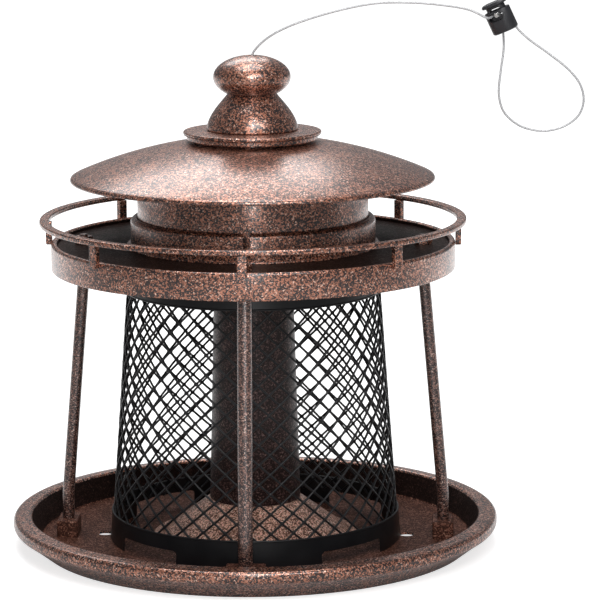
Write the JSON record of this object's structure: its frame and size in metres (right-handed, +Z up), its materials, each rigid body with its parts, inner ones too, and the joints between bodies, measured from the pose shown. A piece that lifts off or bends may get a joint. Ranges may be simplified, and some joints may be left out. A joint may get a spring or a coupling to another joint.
{
  "type": "hanging bird feeder",
  "caption": "Hanging lantern bird feeder with a mesh seed basket, a round tray, a railed deck and a domed roof that lifts along its steel cable for filling.",
  "frame": {"origin": "centre of the tray's foot ring, on the surface that the feeder stands on", "axes": "+Z up along the cable, -Y towards the locating slot in the neck ring"},
  "size_m": [0.2938, 0.2504, 0.2826],
  "materials": {
    "copper_coat": "glossy hammered antique copper powder coat",
    "black_coat": "satin black powder coat",
    "plated_steel": "zinc plated steel",
    "cable_steel": "bare stranded steel wire",
    "lock_plastic": "black moulded plastic"
  },
  "bodies": {
    "feeder": {"tray": "copper_coat", "baffle_cone": "copper_coat", "seed_column": "copper_coat", "mesh_basket": "black_coat", "basket_bottom_band": "black_coat", "basket_top_band": "black_coat", "post_front": "copper_coat", "post_right": "copper_coat", "post_back": "copper_coat", "post_left": "copper_coat", "foot_cap_front": "copper_coat", "foot_cap_right": "copper_coat", "foot_cap_back": "copper_coat", "foot_cap_left": "copper_coat", "foot_screws": "plated_steel", "post_nuts": "copper_coat", "deck_pan": "copper_coat", "neck_ring": "copper_coat", "rail": "copper_coat", "baluster_1": "copper_coat", "baluster_2": "copper_coat", "baluster_3": "copper_coat", "baluster_4": "copper_coat", "baluster_5": "copper_coat", "baluster_6": "copper_coat", "baluster_7": "copper_coat", "baluster_8": "copper_coat", "inner_cable": "cable_steel", "cable_washer": "plated_steel", "cable_ferrule": "plated_steel"},
    "roof": {"roof_dome": "copper_coat", "roof_skirt": "copper_coat", "roof_peg": "plated_steel", "roof_washer": "plated_steel", "roof_nut": "plated_steel", "roof_tube": "plated_steel", "finial_flange": "copper_coat", "finial_bell": "copper_coat", "finial_ball": "copper_coat", "hanger_cable": "cable_steel", "cable_crimp": "plated_steel", "lock_body": "lock_plastic", "lock_spring": "plated_steel"},
    "plunger": {"lock_plunger": "lock_plastic"}
  },
  "joints": [
    {"name": "roof_slide", "type": "slide", "parent": "feeder", "child": "roof", "axis": [0, 0, 1], "range_m": [0, 0.038]},
    {"name": "plunger_press", "type": "slide", "parent": "roof", "child": "plunger", "axis": [0.4226, 0, -0.9063], "range_m": [0, 0.002], "stiffness_N_per_m": 500, "springref_m": -0.001, "deforming": ["lock_spring"]}
  ]
}
